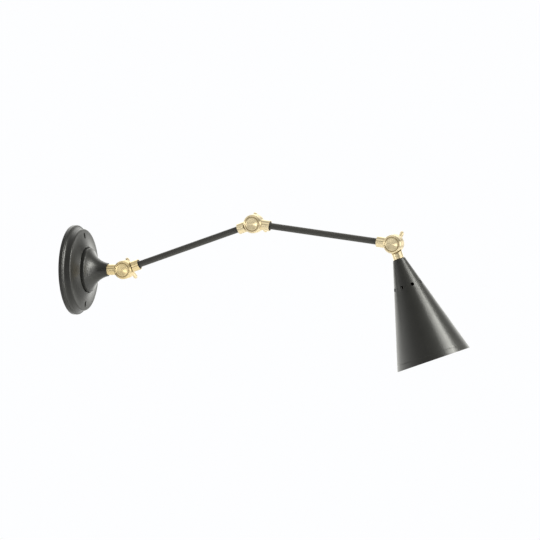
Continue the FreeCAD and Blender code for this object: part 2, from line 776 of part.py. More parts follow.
def shade_radius(distance):
    return f"({SHADE_TOP} / 2 + (shade_mouth - {SHADE_TOP}) / 2 * ({distance}) / shade_length)"


def shade():
    turn = Placement(Vector(), Rotation(Vector(1, 0, 0), size("vent_turn")))
    body = new_body("shade", head.multiply(turn))
    mouth = "shade_seat + shade_length"
    hem = "shade_length - hem_width"
    dip_start, dip_end = f"{hem} - hem_dip_width / 2", f"{hem} + hem_dip_width / 2"
    turn_feature(body, "spun_cone", [
        ("shade_seat", f"({TUBE_FIT}) / 2"),
        ("shade_seat", f"{SHADE_TOP} / 2 - shade_top_round"),
        ("shade_seat + shade_top_round", shade_radius("shade_top_round"), "shade_top_bend", RIGHT),
        (f"shade_seat + {dip_start}", shade_radius(dip_start)),
        (f"shade_seat + {hem}", f"{shade_radius(hem)} - hem_dip"),
        (f"shade_seat + {dip_end}", shade_radius(dip_end)),
        (mouth, "shade_mouth / 2"),
        (mouth, "shade_mouth / 2 - 2 * shade_wall"),
        (f"shade_seat + {hem}", f"{shade_radius(hem)} - 2 * shade_wall"),
        (f"shade_seat + {hem}", f"{shade_radius(hem)} - shade_wall"),
        ("shade_seat + shade_wall", f"{shade_radius('shade_wall')} - shade_wall"),
        ("shade_seat + shade_wall", f"({TUBE_FIT}) / 2"),
    ])
    vent = new_sketch(body, "vent_round", "XZ_Plane")
    draw_circle(vent, "shade_seat + vent_distance", "0", "vent_diameter")
    hole = pocket(body, "vent_hole", vent, "shade_mouth / 2")
    pattern = body.newObject("PartDesign::PolarPattern", "vent_ring")
    pattern.Originals = [hole]
    pattern.Axis = (next(f for f in body.Origin.OriginFeatures if f.Role == "X_Axis"), [""])
    pattern.Angle = 360
    bind(pattern, "Occurrences", "vent_count")
    body.Tip = pattern


def lampholder():
    under_top = "shade_seat + shade_wall"
    washer_end = f"{under_top} + shade_washer"
    cap_back = "shade_seat + cap_start"
    nipple_end = f"{cap_back} + nipple_grip"
    washer("shade_nipple", head, "socket_floor", nipple_end, TUBE_BORE, "tube_diameter")
    washer("shade_washer", head, under_top, washer_end, TUBE_FIT, SHADE_WASHER)
    hex_nut("shade_nut", head, washer_end, "nut_height", "nut_flats", TUBE_FIT)
    washer("shade_wire", head, "socket_floor", f"{nipple_end} + wire_tail", "0", WIRE)

    flare_start = f"{cap_back} + cap_boss_length"
    flare_end = f"{flare_start} + cap_flare_length"
    holder_start = f"{flare_end} + cap_band"
    cap_rim = "holder_diameter / 2 - holder_edge"
    turned("holder_cap", head, [
        (cap_back, f"({TUBE_FIT}) / 2"),
        (cap_back, "cap_boss_diameter / 2"),
        (flare_start, "cap_boss_diameter / 2"),
        (flare_end, cap_rim),
        (holder_start, cap_rim),
        (holder_start, f"{cap_rim} - cap_wall"),
        (flare_end, f"{cap_rim} - cap_wall"),
        (f"{flare_start} + cap_wall", f"({TUBE_FIT}) / 2 + cap_wall"),
        (flare_start, f"({TUBE_FIT}) / 2"),
    ])
    holder_end = f"{holder_start} + holder_length"
    floor = f"{holder_start} + holder_floor"
    shell_bore = "(bulb_cap_diameter / 2 + shell_clearance)"
    shell_outer = f"{shell_bore} + shell_wall"
    turned("holder_body", head, [
        (holder_start, "contact_pin / 2 + fit_gap"),
        (holder_start, "holder_diameter / 2"),
        (f"{holder_end} - holder_edge", "holder_diameter / 2"),
        (holder_end, "holder_diameter / 2 - holder_edge", "holder_edge", RIGHT),
        (holder_end, f"{shell_outer} + shell_gap"),
        (floor, f"{shell_outer} + shell_gap"),
        (floor, "contact_pin / 2 + fit_gap"),
    ])
    turned("screw_shell", head, ring(floor, f"{floor} + shell_length", shell_bore, shell_outer))
    contact_top = f"{floor} + contact_height"
    turned("centre_contact", head, [
        (holder_start, "0"),
        (contact_top, "0"),
        (contact_top, "bulb_tip / 2"),
        (floor, "contact_head / 2"),
        (floor, "contact_pin / 2"),
        (holder_start, "contact_pin / 2"),
    ])
    bulb(contact_top)


def bulb(contact_top):
    cap_end = f"{contact_top} + bulb_cap_length"
    turned("bulb_cap", head, [
        (contact_top, "0"),
        (contact_top, "bulb_tip / 2"),
        (f"{contact_top} + bulb_tip_height", "bulb_tip / 2"),
        (f"{contact_top} + bulb_shoulder", "bulb_cap_diameter / 2"),
        (cap_end, "bulb_cap_diameter / 2"),
        (cap_end, "0"),
    ])
    ball = "bulb_diameter / 2"
    flare = "bulb_neck_flare / 2"
    join = f"{cap_end} + bulb_flare_length"
    centre = f"{join} + sqrt(({ball})^2 - ({flare})^2)"
    turned("bulb_glass", head, [
        (cap_end, "bulb_neck / 2"),
        (join, flare, "bulb_flare_round", LEFT),
        (centre, ball, ball, RIGHT),
        (f"{centre} + {ball}", "0", ball, RIGHT),
        (f"{centre} + {ball} - glass_wall", "0"),
        (centre, f"{ball} - glass_wall", f"{ball} - glass_wall", LEFT),
        (f"{join} + glass_wall / 2", f"{flare} - glass_wall", f"{ball} - glass_wall", LEFT),
        (cap_end, "bulb_neck / 2 - glass_wall", "bulb_flare_round + glass_wall", RIGHT),
    ])


canopy_plate()
hub_bell()
canopy_fittings()
turning_stem()
knuckles()
arm("arm_one", arm_one)
arm("arm_two", arm_two)
shade()
lampholder()
doc.recompute()

for thing in doc.Objects:
    if {"Invalid", "Error"} & set(thing.State):
        raise RuntimeError(f"{thing.Name} failed: {thing.State}")
os.makedirs("parts", exist_ok=True)
for piece in sub_parts:
    if piece.Shape.isNull() or not piece.Shape.isValid():
        raise RuntimeError(f"{piece.Label} has no valid shape")
for piece in sub_parts:
    piece.Shape.exportStep(f"parts/{piece.Label}.step")
print(len(sub_parts), "sub-parts written")
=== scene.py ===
import json
import math
import bmesh
import bpy
from mathutils import Matrix, Vector


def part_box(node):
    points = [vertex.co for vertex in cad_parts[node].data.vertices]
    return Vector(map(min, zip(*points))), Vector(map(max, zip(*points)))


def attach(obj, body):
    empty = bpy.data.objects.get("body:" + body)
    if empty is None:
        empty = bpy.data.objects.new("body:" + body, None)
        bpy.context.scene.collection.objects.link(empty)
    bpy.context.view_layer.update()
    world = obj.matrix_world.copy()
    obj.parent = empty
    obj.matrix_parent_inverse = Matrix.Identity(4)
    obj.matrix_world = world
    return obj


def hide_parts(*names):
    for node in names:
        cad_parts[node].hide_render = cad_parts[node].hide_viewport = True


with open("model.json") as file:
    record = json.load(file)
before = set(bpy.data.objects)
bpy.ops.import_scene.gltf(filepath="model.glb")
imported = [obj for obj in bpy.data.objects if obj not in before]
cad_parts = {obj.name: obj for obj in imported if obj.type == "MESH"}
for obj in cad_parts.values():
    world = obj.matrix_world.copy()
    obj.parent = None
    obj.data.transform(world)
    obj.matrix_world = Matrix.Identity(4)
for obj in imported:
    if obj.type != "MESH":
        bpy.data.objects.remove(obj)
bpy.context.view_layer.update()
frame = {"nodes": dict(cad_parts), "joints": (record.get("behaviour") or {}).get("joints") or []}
nodes = frame["nodes"]
scene = bpy.context.scene
scene.view_settings.view_transform = "Standard"
mm = 0.001


# Places and directions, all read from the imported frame.

def boxMiddle(node):
    low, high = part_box(node)
    return (low + high) / 2


joints = {joint["name"]: joint for joint in frame["joints"]}
hinges = {name: Vector(joints[f"{name}_hinge"]["pos_m"]) for name in ("shoulder", "elbow", "wrist")}
shoulder, elbow, wrist = hinges.values()
hingeWay = -Vector(joints["shoulder_hinge"]["axis"]).normalized()   # along every screw, towards its wings
wallWay = Vector((1, 0, 0))                                         # straight out from the canopy
armOneWay = (elbow - shoulder).normalized()
armTwoWay = (wrist - elbow).normalized()
shadeWay = (boxMiddle("shade_nut") - wrist).normalized()
print("frame loaded:", len(nodes), "nodes")


# Camera, at the photograph's viewing angle.

lampView = {
    "eye": (2.131173, -5.572114, 0.074552),
    "yaw": 18.265,        # degrees round from straight along +Y
    "pitch": 0.743,       # degrees looking down
    "roll": 0.526,        # degrees that the picture leans to the left
    "lens": 280.0,
    "sensor": 36.0,
    "clip": (0.1, 50),
}


def placeCamera(view):
    yaw, pitch, roll = (math.radians(view[key]) for key in ("yaw", "pitch", "roll"))
    look = Vector((-math.sin(yaw) * math.cos(pitch), math.cos(yaw) * math.cos(pitch), -math.sin(pitch)))
    right = Vector((math.cos(yaw), math.sin(yaw), 0))
    up = right.cross(look)
    leanRight = math.cos(roll) * right - math.sin(roll) * up
    leanUp = math.sin(roll) * right + math.cos(roll) * up
    turn = Matrix((leanRight, leanUp, -look)).transposed().to_4x4()
    data = bpy.data.cameras.new("photoCamera")
    data.lens = view["lens"]
    data.sensor_width = view["sensor"]
    data.clip_start, data.clip_end = view["clip"]
    camera = bpy.data.objects.new("photoCamera", data)
    camera.matrix_world = Matrix.Translation(view["eye"]) @ turn
    scene.collection.objects.link(camera)
    scene.camera = camera


placeCamera(lampView)
print("camera placed")


# Node helpers.

noiseRange = (0.3, 0.7)       # most of a noise lies between these


def rgb(red, green, blue):
    return (red, green, blue, 1.0)


def addNode(tree, kind, inputs=None, **settings):
    node = tree.nodes.new(kind)
    for name, value in settings.items():
        setattr(node, name, value)
    for name, value in (inputs or {}).items():
        if isinstance(value, bpy.types.NodeSocket):
            tree.links.new(value, node.inputs[name])
        else:
            node.inputs[name].default_value = value
    return node


def maths(tree, operation, first, second=None):
    inputs = {0: first} if second is None else {0: first, 1: second}
    return addNode(tree, "ShaderNodeMath", inputs, operation=operation).outputs[0]


def largest(tree, first, *others):
    for other in others:
        first = maths(tree, "MAXIMUM", first, other)
    return first


def vectorMaths(tree, operation, first, second=None, output=0):
    inputs = {0: first} if second is None else {0: first, 1: second}
    return addNode(tree, "ShaderNodeVectorMath", inputs, operation=operation).outputs[output]


def distanceAlong(tree, place, way):
    return vectorMaths(tree, "DOT_PRODUCT", place, tuple(way), 1)


def scaled(tree, vector, amount):
    return addNode(tree, "ShaderNodeVectorMath", {0: vector, "Scale": amount}, operation="SCALE").outputs[0]


def spread(tree, value, low, high, toLow, toHigh, smooth=False):
    inputs = {"Value": value, "From Min": low, "From Max": high, "To Min": toLow, "To Max": toHigh}
    kind = "SMOOTHSTEP" if smooth else "LINEAR"
    return addNode(tree, "ShaderNodeMapRange", inputs, interpolation_type=kind).outputs[0]


def mixed(tree, kind, factor, first, second):
    sockets = {"FLOAT": (2, 3, 0), "VECTOR": (4, 5, 1), "RGBA": (6, 7, 2)}[kind]
    node = addNode(tree, "ShaderNodeMix", {0: factor, sockets[0]: first, sockets[1]: second}, data_type=kind)
    return node.outputs[sockets[2]]


def noise(tree, place, scale, detail=2.0, roughness=0.5):
    inputs = {"Vector": place, "Scale": scale, "Detail": detail, "Roughness": roughness}
    return addNode(tree, "ShaderNodeTexNoise", inputs).outputs["Fac"]


def lineNoise(tree, along, scale, detail=2.0):
    inputs = {"W": along, "Scale": scale, "Detail": detail}
    return addNode(tree, "ShaderNodeTexNoise", inputs, noise_dimensions="1D").outputs["Fac"]


def bump(tree, height, depth, strength=1.0, before=None):
    inputs = {"Height": height, "Distance": depth, "Strength": strength}
    if before is not None:
        inputs["Normal"] = before
    return addNode(tree, "ShaderNodeBump", inputs).outputs[0]


def newFinish(name, **sockets):
    material = bpy.data.materials.new(name)
    material.use_nodes = True
    tree = material.node_tree
    shader = tree.nodes["Principled BSDF"]
    for socket, value in sockets.items():
        shader.inputs[socket.replace("_", " ")].default_value = value
    place = addNode(tree, "ShaderNodeTexCoord").outputs["Object"]
    return material, tree, shader, place


def feed(tree, shader, **sockets):
    for socket, value in sockets.items():
        tree.links.new(value, shader.inputs[socket.replace("_", " ")])


# Black paint, with a faint peel in its skin, and at a rim a lighter edge that is partly rubbed paint and
# partly a painted highlight.

paint = {
    "deep": rgb(0.0090, 0.0090, 0.0080),
    "worn": rgb(0.0120, 0.0120, 0.0108),
    "rough": (0.29, 0.35),
    # painted light: the tubes take a paler, lit copy of the black paint
    "tubeLitDeep": rgb(0.0320, 0.0308, 0.0280),
    "tubeLitWorn": rgb(0.0390, 0.0376, 0.0345),
    "tubeRough": (0.40, 0.46),
    "gloss": 1.5,                 # its refractive index
    "cloudScale": 42,             # from deep to worn, per metre
    "cloudDetail": 4,
    "peelScale": 700,             # per metre, so about 1.5 mm from wave to wave
    "peelDepth": 0.000004,
    "peelStrength": 0.4,
    "gritScale": 5200,
    "gritDepth": 0.0000005,
    "gritStrength": 0.35,
    # a lighter colour at the rim's edge: rubbed paint and a painted highlight
    "rubbedSheen": rgb(0.060, 0.058, 0.052),
    "rubbedSheenRough": 0.12,          # added to the roughness
    "patchScale": 160,            # the rubbing and painted highlight come in patches
    "patchDetail": 5,
    "patchRoughness": 0.7,
    "patchRange": (0.42, 0.66),
    "patchAmount": (0.15, 0.85),
}


def satinBlack(name, kind=("deep", "worn", "rough"), centre=None, way=None, edge=None):
    deep, worn, roughness = (paint[part] for part in kind)
    material, tree, shader, place = newFinish(name, Metallic=0.0, IOR=paint["gloss"])
    cloud = noise(tree, place, paint["cloudScale"], paint["cloudDetail"])
    colour = mixed(tree, "RGBA", cloud, deep, worn)
    rough = spread(tree, cloud, *noiseRange, *roughness)
    # Partly rubbed paint, partly a painted highlight: lighter and rougher near the rim's edge.
    if edge is not None:
        patches = noise(tree, place, paint["patchScale"], paint["patchDetail"], paint["patchRoughness"])
        patchy = spread(tree, patches, *paint["patchRange"], *paint["patchAmount"])
        along = distanceAlong(tree, vectorMaths(tree, "SUBTRACT", place, tuple(centre)), way)
        rubbedSheen = maths(tree, "MULTIPLY", patchy, spread(tree, along, *edge, 0.0, 1.0, True))
        colour = mixed(tree, "RGBA", rubbedSheen, colour, paint["rubbedSheen"])
        rough = maths(tree, "ADD", rough, maths(tree, "MULTIPLY", rubbedSheen, paint["rubbedSheenRough"]))
    peel = noise(tree, place, paint["peelScale"])
    grit = noise(tree, place, paint["gritScale"])
    skin = bump(tree, peel, paint["peelDepth"], paint["peelStrength"])
    skin = bump(tree, grit, paint["gritDepth"], paint["gritStrength"], skin)
    feed(tree, shader, Base_Color=colour, Roughness=rough, Normal=skin)
    return material


# Brass turned on a lathe: fine grooves round its axis stretch the light across them.

turning = {
    "rough": 0.30,
    "roughSway": 0.02,            # what the bands and the clouds each add or take away
    "lean": 0.95,                 # how far the light is stretched
    "leanTurn": 0.25,             # a quarter turn, so that it runs across the grooves
    "fine": 4200,                 # grooves per metre
    "fineDetail": 3,
    "broad": 260,                 # bands left by polishing, per metre
    "cloudScale": 45,
    "bandShare": 0.2,             # of the tone; clouds give the rest
    "toneRange": (0.2, 0.8),
    "depth": 0.0000004,
    "strength": 0.3,
    "dishReach": 7.6 * mm,        # the faces are turned slightly hollow as far out as this
    "dishDepth": 1.5 * mm,
    "grooveReach": 9.7 * mm,      # painted shade darkens the groove round the face
    "grooveFade": (0.25 * mm, 1.0 * mm),
    "grooveShade": rgb(0.50, 0.395, 0.225),
    "puckReach": 13.6 * mm,       # beyond this the metal is turned about the tube's line
}


def turnedMetal(name, tones, centre, way, collarWay):
    material, tree, shader, place = newFinish(name, Metallic=1.0, Anisotropic=turning["lean"],
                                              Anisotropic_Rotation=turning["leanTurn"])
    local = vectorMaths(tree, "SUBTRACT", place, tuple(centre))
    along = distanceAlong(tree, local, way)
    outward = vectorMaths(tree, "SUBTRACT", local, scaled(tree, tuple(way), along))
    reach = vectorMaths(tree, "LENGTH", outward, output=1)
    onCollar = maths(tree, "GREATER_THAN", reach, turning["puckReach"])

    # The grooves run round the screw on the puck, and round the tube on the collar.
    roundWay = mixed(tree, "VECTOR", onCollar, vectorMaths(tree, "CROSS_PRODUCT", tuple(way), local),
                     vectorMaths(tree, "CROSS_PRODUCT", tuple(collarWay), local))
    toWorld = addNode(tree, "ShaderNodeVectorTransform", {0: roundWay}, vector_type="VECTOR",
                      convert_from="OBJECT", convert_to="WORLD").outputs[0]
    lathe = mixed(tree, "FLOAT", onCollar, maths(tree, "ADD", reach, along),
                  distanceAlong(tree, local, collarWay))
    rings = lineNoise(tree, lathe, turning["fine"], turning["fineDetail"])
    bands = lineNoise(tree, lathe, turning["broad"])
    cloud = noise(tree, place, turning["cloudScale"])

    tone = maths(tree, "ADD", maths(tree, "MULTIPLY", bands, turning["bandShare"]),
                 maths(tree, "MULTIPLY", cloud, 1 - turning["bandShare"]))
    wiped = mixed(tree, "RGBA", spread(tree, tone, *turning["toneRange"], 0.0, 1.0), *tones)
    # Painted shade: the colour turns to grooveShade in the groove round the face, away from it the brass
    # keeps its own tones.
    offGroove = maths(tree, "ABSOLUTE", maths(tree, "SUBTRACT", reach, turning["grooveReach"]))
    bright = spread(tree, offGroove, *turning["grooveFade"], 0.0, 1.0)
    rough, sway = turning["rough"], turning["roughSway"]
    worn = maths(tree, "ADD", spread(tree, bands, *noiseRange, rough - sway, rough + sway),
                 spread(tree, cloud, *noiseRange, -sway, sway))
    out = maths(tree, "DIVIDE", reach, turning["dishReach"])
    hollow = maths(tree, "MINIMUM", maths(tree, "MULTIPLY", out, out), 1.0)
    skin = bump(tree, hollow, turning["dishDepth"])
    skin = bump(tree, rings, turning["depth"], turning["strength"], skin)
    feed(tree, shader, Base_Color=mixed(tree, "RGBA", bright, turning["grooveShade"], wiped), Roughness=worn,
         Normal=skin, Tangent=vectorMaths(tree, "NORMALIZE", toWorld))
    return material


# Plain metals: large clouds of tone, and a fine grain that also changes the roughness.

casting = {
    "cloudStep": 12,              # clouds are so many times larger than the grain
    "cloudDetail": 4,
    "grainDetail": 3,
    "roughSway": 0.06,
    "depth": 0.000006,
    "strength": 0.4,
}


def castMetal(name, tones, rough, grain):
    material, tree, shader, place = newFinish(name, Metallic=1.0)
    cloud = noise(tree, place, grain / casting["cloudStep"], casting["cloudDetail"])
    fine = noise(tree, place, grain, casting["grainDetail"])
    sway = casting["roughSway"]
    feed(tree, shader, Base_Color=mixed(tree, "RGBA", cloud, *tones),
         Roughness=spread(tree, fine, *noiseRange, rough - sway, rough + sway),
         Normal=bump(tree, fine, casting["depth"], casting["strength"]))
    return material


# Plastic, fibre, porcelain and glass.

moulding = {
    "gloss": 1.5,
    "cloudStep": 15,
    "cloudDetail": 3,
    "roughSway": 0.05,
    "depth": 0.00001,
    "strength": 0.5,
}


def moulded(name, tones, rough, grain, depth=moulding["depth"], **sockets):
    material, tree, shader, place = newFinish(name, Metallic=0.0, IOR=moulding["gloss"], **sockets)
    cloud = noise(tree, place, grain / moulding["cloudStep"], moulding["cloudDetail"])
    fine = noise(tree, place, grain)
    sway = moulding["roughSway"]
    feed(tree, shader, Base_Color=mixed(tree, "RGBA", cloud, *tones),
         Roughness=spread(tree, cloud, *noiseRange, rough - sway, rough + sway),
         Normal=bump(tree, fine, depth, moulding["strength"]))
    return material


brassTones = (rgb(0.755, 0.635, 0.415), rgb(0.815, 0.690, 0.455))
# Painted shade: a deeper, shaded copy of the same brass, for the shoulder knuckle alone.
shoulderShadedBrassTones = (rgb(0.755, 0.605, 0.340), rgb(0.815, 0.660, 0.375))
metals = {
    "castBrass": {"tones": brassTones, "rough": 0.40, "grain": 1400},
    "springSteel": {"tones": (rgb(0.30, 0.30, 0.31), rgb(0.42, 0.42, 0.43)), "rough": 0.30, "grain": 2500},
    "zincPlate": {"tones": (rgb(0.55, 0.55, 0.52), rgb(0.68, 0.68, 0.66)), "rough": 0.34, "grain": 1800},
    "plainBrass": {"tones": (rgb(0.62, 0.43, 0.17), rgb(0.72, 0.52, 0.24)), "rough": 0.32, "grain": 1800},
    "pressedAluminium": {"tones": (rgb(0.66, 0.66, 0.66), rgb(0.78, 0.78, 0.78)), "rough": 0.32,
                         "grain": 2000},
}
mouldings = {
    "redFibre": {"tones": (rgb(0.13, 0.045, 0.03), rgb(0.22, 0.08, 0.05)), "rough": 0.7, "grain": 3000},
    "blackNylon": {"tones": (rgb(0.012, 0.012, 0.012), rgb(0.02, 0.02, 0.02)), "rough": 0.55, "grain": 2600},
    "blackFlex": {"tones": (rgb(0.012, 0.012, 0.013), rgb(0.02, 0.02, 0.021)), "rough": 0.5, "grain": 2200},
    "terminalPlastic": {"tones": (rgb(0.72, 0.71, 0.65), rgb(0.82, 0.81, 0.76)), "rough": 0.42,
                        "grain": 2600},
    # dark brown glaze, also painted shade: the holder is kept dark so the inside, seen through the vents,
    # reads as shade
    "darkShadePorcelain": {"tones": (rgb(0.022, 0.013, 0.008), rgb(0.034, 0.020, 0.012)), "rough": 0.20,
                        "grain": 900, "Coat_Weight": 0.6},
    "opalGlass": {"tones": (rgb(0.86, 0.85, 0.82), rgb(0.90, 0.89, 0.86)), "rough": 0.14, "grain": 700,
                  "depth": 0.000002, "Coat_Weight": 0.5, "Transmission_Weight": 0.15},
}
shadeRim = {
    "mouth": 169.5 * mm,          # from the wrist's centre to the shade's rim
    "rubbedSheenFrom": 1.6 * mm,       # above the rim
    "rubbedSheenFull": 0.2 * mm,
}

blackPaint = satinBlack("satinBlackPaint")
# Painted light: the arm tubes get the paler copy of the black paint.
litTubePaint = satinBlack("satinBlackTubeLit", ("tubeLitDeep", "tubeLitWorn", "tubeRough"))
shadePaint = satinBlack("satinBlackShade", centre=wrist, way=shadeWay,
                        edge=(shadeRim["mouth"] - shadeRim["rubbedSheenFrom"],
                              shadeRim["mouth"] - shadeRim["rubbedSheenFull"]))
plainFinishes = {name: castMetal(name, **metal) for name, metal in metals.items()}
plainFinishes.update({name: moulded(name, **piece) for name, piece in mouldings.items()})
castBrass, plainBrass = plainFinishes["castBrass"], plainFinishes["plainBrass"]

knuckleHalves = {                 # each half's hinge, the way its collar points, and its tones
    "shoulder_near_half": (shoulder, -wallWay, shoulderShadedBrassTones),
    "shoulder_far_half": (shoulder, armOneWay, shoulderShadedBrassTones),
    "elbow_far_half": (elbow, -armOneWay, brassTones),
    "elbow_near_half": (elbow, armTwoWay, brassTones),
    "wrist_near_half": (wrist, -armTwoWay, brassTones),
    "wrist_far_half": (wrist, shadeWay, brassTones),
}
paintedNodes = (
    (blackPaint, ("canopy_plate", "hub_bell", "holder_cap")),
    (litTubePaint, ("arm_one_tube", "arm_two_tube")),
    (shadePaint, ("shade",)),
)
plainNodes = {
    "castBrass": ("shoulder_wing_screw", "elbow_wing_screw", "wrist_wing_screw"),
    "springSteel": ("shoulder_spring_washer", "elbow_spring_washer", "wrist_spring_washer",
                    "swivel_spring_washer"),
    "redFibre": ("shoulder_friction_washer", "elbow_friction_washer", "wrist_friction_washer",
                 "thrust_washer"),
    "blackNylon": ("arm_one_ferrules", "arm_two_ferrules"),
    "blackFlex": ("stem_wire", "arm_one_wire", "arm_two_wire", "shade_wire"),
    "plainBrass": ("hub_sleeve", "swivel_nipple", "shade_nipple", "screw_shell", "centre_contact",
                   "earth_screw", "earth_tag", "terminal_screws"),
    "zincPlate": ("sleeve_nut", "terminal_bracket", "stop_pin", "stop_washer", "swivel_nut", "block_screw",
                  "shade_washer", "shade_nut"),
    "terminalPlastic": ("terminal_block",),
    "darkShadePorcelain": ("holder_body",),
    "pressedAluminium": ("bulb_cap",),
    "opalGlass": ("bulb_glass",),
}
finishes = {node: turnedMetal(f"turnedBrass_{node}", tones, pivot, hingeWay, collarWay)
            for node, (pivot, collarWay, tones) in knuckleHalves.items()}
for finish, alike in paintedNodes:
    finishes.update(dict.fromkeys(alike, finish))
for name, alike in plainNodes.items():
    finishes.update(dict.fromkeys(alike, plainFinishes[name]))
for node, finish in finishes.items():
    slots = nodes[node].data.materials
    if not slots:
        slots.append(finish)
    for index in range(len(slots)):
        slots[index] = finish
print("finishes given to", len(finishes), "nodes")


# Shape helpers.

def addObject(name, mesh):
    made = bpy.data.objects.new(name, mesh)
    scene.collection.objects.link(made)
    return made


def frameOf(centre, first, third, scale=1.0):
    second = third.cross(first)
    turn = Matrix((first, second, third)).transposed().to_4x4()
    return Matrix.Translation(centre) @ turn @ Matrix.Scale(scale, 4)


def pointsFrom(node, start):
    return [nodes[node].matrix_world @ vertex.co - start for vertex in nodes[node].data.vertices]


def offAxis(node, start, way):
    return [point - way * point.dot(way) for point in pointsFrom(node, start)]


def outerRadius(node, start, way):
    return max(point.length for point in offAxis(node, start, way))


def addRings(shape, rings):
    # Rings of points joined into one closed skin; each end is closed to a point in its middle.
    loops = [[shape.verts.new(point) for point in ring] for ring in rings]
    count = len(loops[0])
    for first, second in zip(loops, loops[1:]):
        for index in range(count):
            after = (index + 1) % count
            shape.faces.new((first[index], first[after], second[after], second[index]))
    for loop in (loops[0], loops[-1]):
        middle = shape.verts.new(sum((vertex.co for vertex in loop), Vector()) / count)
        for index in range(count):
            shape.faces.new((loop[index], loop[(index + 1) % count], middle))


def turnedRings(profile, steps):
    angles = [2 * math.pi * step / steps for step in range(steps)]
    return [[(radius * math.cos(angle), radius * math.sin(angle), height) for angle in angles]
            for radius, height in profile]


def baked(piece):
    graph = bpy.context.evaluated_depsgraph_get()
    return bpy.data.meshes.new_from_object(piece.evaluated_get(graph))


# Wing screws: a turned shank and hub with two cast wings, run together and softened as a casting is.

wingScrew = {                     # lengths in millimetres
    "shank": ((2.40, -5.45), (2.40, 10.7), (5.85, 10.72), (6.0, 11.1), (6.0, 12.3), (5.6, 12.85)),
    "hub": ((4.9, 14.0), (4.5, 16.5), (4.5, 20.0), (4.2, 21.8), (3.1, 23.0), (1.4, 23.5)),
    "turnedSteps": 48,
    "spine": ((1.0, 15.4), (4.6, 22.0), (6.6, 26.0), (12.6, 28.9)),    # out along the wing, then up the screw
    "width": (3.4, 3.5),          # half the wing's width, at its root and its tip
    "thickness": (2.3, 2.5),      # half its thickness
    "thicken": 0.7,               # below 1 it thickens early
    "square": 2.8,                # 2 is an ellipse, more is squarer
    "rings": 26,
    "steps": 28,
    "tipRings": 8,
    "tipTurn": 86,                # degrees of the rounded tip
    "tipFullness": 0.7,           # below 1 it is blunter
    "voxel": 0.30,
    "soften": 7,
    "softenFactor": 0.5,
    "tipBand": 0.3,               # points this near to the farthest one show which way the wings point
}


def between(ends, share):
    return ends[0] + (ends[1] - ends[0]) * share


def signedPower(value, power):
    return math.copysign(abs(value) ** power, value)


def alongSpine(points, share):
    first, second, third, fourth = (Vector((out, 0, up)) for out, up in points)
    rest = 1 - share
    spot = (rest ** 3 * first + 3 * rest ** 2 * share * second
            + 3 * rest * share ** 2 * third + share ** 3 * fourth)
    way = (rest ** 2 * (second - first) + 2 * rest * share * (third - second)
           + share ** 2 * (fourth - third))
    return spot, way.normalized()


def wingRings(sizes, side):
    rings = []
    power = 2 / sizes["square"]
    for step in range(sizes["rings"] + sizes["tipRings"]):
        share = min(step / (sizes["rings"] - 1), 1.0)
        spot, way = alongSpine(sizes["spine"], share)
        width = between(sizes["width"], share)
        thick = between(sizes["thickness"], share ** sizes["thicken"])
        past = max(step - sizes["rings"] + 1, 0) / sizes["tipRings"] * math.radians(sizes["tipTurn"])
        spot = spot + way * width * math.sin(past)
        shrink = math.cos(past) ** sizes["tipFullness"]
        across = Vector((-way.z, 0, way.x))
        ring = []
        for turnStep in range(sizes["steps"]):
            angle = 2 * math.pi * turnStep / sizes["steps"]
            wide = signedPower(math.cos(angle), power)
            deep = signedPower(math.sin(angle), power)
            point = spot + across * width * shrink * wide + Vector((0, thick * shrink * deep, 0))
            ring.append((side * point.x, side * point.y, point.z))
        rings.append(ring)
    return rings


def wingWay(node, pivot, sizes):
    flats = offAxis(node, pivot, hingeWay)
    reach = max(flat.length for flat in flats)
    tips = [flat for flat in flats if flat.length > reach - sizes["tipBand"] * mm]
    return sum((tip for tip in tips if tip.dot(tips[0]) > 0), Vector()).normalized()


def makeWingScrew(name, pivot, sizes):
    shape = bmesh.new()
    addRings(shape, turnedRings(sizes["shank"] + sizes["hub"], sizes["turnedSteps"]))
    for side in (1, -1):
        addRings(shape, wingRings(sizes, side))
    bmesh.ops.recalc_face_normals(shape, faces=shape.faces)
    mesh = bpy.data.meshes.new(f"{name}WingCasting")
    shape.to_mesh(mesh)
    shape.free()
    piece = addObject(f"{name}WingCasting", mesh)
    fuse = piece.modifiers.new("runTogether", "REMESH")
    fuse.mode = "VOXEL"
    fuse.voxel_size = sizes["voxel"]
    ease = piece.modifiers.new("soften", "SMOOTH")
    ease.factor = sizes["softenFactor"]
    ease.iterations = sizes["soften"]
    piece.data = baked(piece)
    piece.modifiers.clear()
    node = f"{name}_wing_screw"
    piece.data.transform(frameOf(pivot, wingWay(node, pivot, sizes), hingeWay, mm))
    piece.data.shade_smooth()
    piece.data.materials.clear()
    piece.data.materials.append(castBrass)
    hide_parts(node)
    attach(piece, f"{name}_screw")
    print(f"{name} wing screw cast:", len(piece.data.polygons), "faces")
    return piece


wingCastings = [makeWingScrew(name, pivot, wingScrew) for name, pivot in hinges.items()]


# Geometry Nodes: each tree has named inputs for its sizes and ends in Realize Instances and Set Material.

def newTree(name, sizes, counts=()):
    tree = bpy.data.node_groups.new(name, "GeometryNodeTree")
    tree.interface.new_socket("Geometry", in_out="OUTPUT", socket_type="NodeSocketGeometry")
    for kind, labels in (("NodeSocketInt", counts), ("NodeSocketFloat", sizes),
                         ("NodeSocketMaterial", ("Finish",))):
        for label in labels:
            tree.interface.new_socket(label, in_out="INPUT", socket_type=kind)
    return tree, tree.nodes.new("NodeGroupInput").outputs


def geometry(tree, kind, inputs):
    return addNode(tree, f"GeometryNode{kind}", inputs).outputs[0]


def endTree(tree, shape, finish):
    real = geometry(tree, "RealizeInstances", {0: shape})
    smooth = geometry(tree, "SetShadeSmooth", {0: real})
    dressed = geometry(tree, "SetMaterial", {0: smooth, "Material": finish})
    tree.links.new(dressed, tree.nodes.new("NodeGroupOutput").inputs[0])


